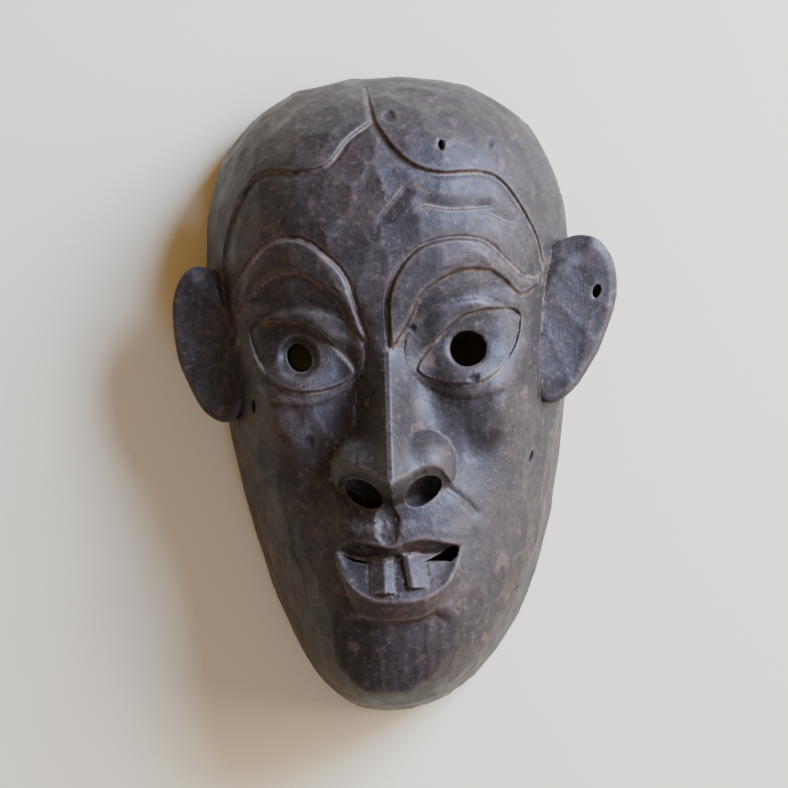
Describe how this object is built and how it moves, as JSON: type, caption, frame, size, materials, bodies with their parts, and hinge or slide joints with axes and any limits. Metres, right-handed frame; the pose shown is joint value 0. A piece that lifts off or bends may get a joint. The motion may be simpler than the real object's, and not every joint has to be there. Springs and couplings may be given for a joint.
{
  "type": "wall mask",
  "caption": "Carved wooden face mask with drilled eyes, a ridged nose, peg teeth, leaf-shaped ears and a hollow back, lying on its flat back rim.",
  "frame": {"origin": "middle of the mask's box in plan, on the flat back rim that it lies on", "axes": "+Z out of the face, +Y from chin to crown, +X to the right of someone who looks at the face"},
  "size_m": [0.174, 0.2502, 0.0922],
  "materials": {
    "patinated_wood": "dark, handled patina with pale dust in the cuts and a low sheen"
  },
  "bodies": {
    "root": {"carved_mask": "patinated_wood"}
  },
  "joints": []
}
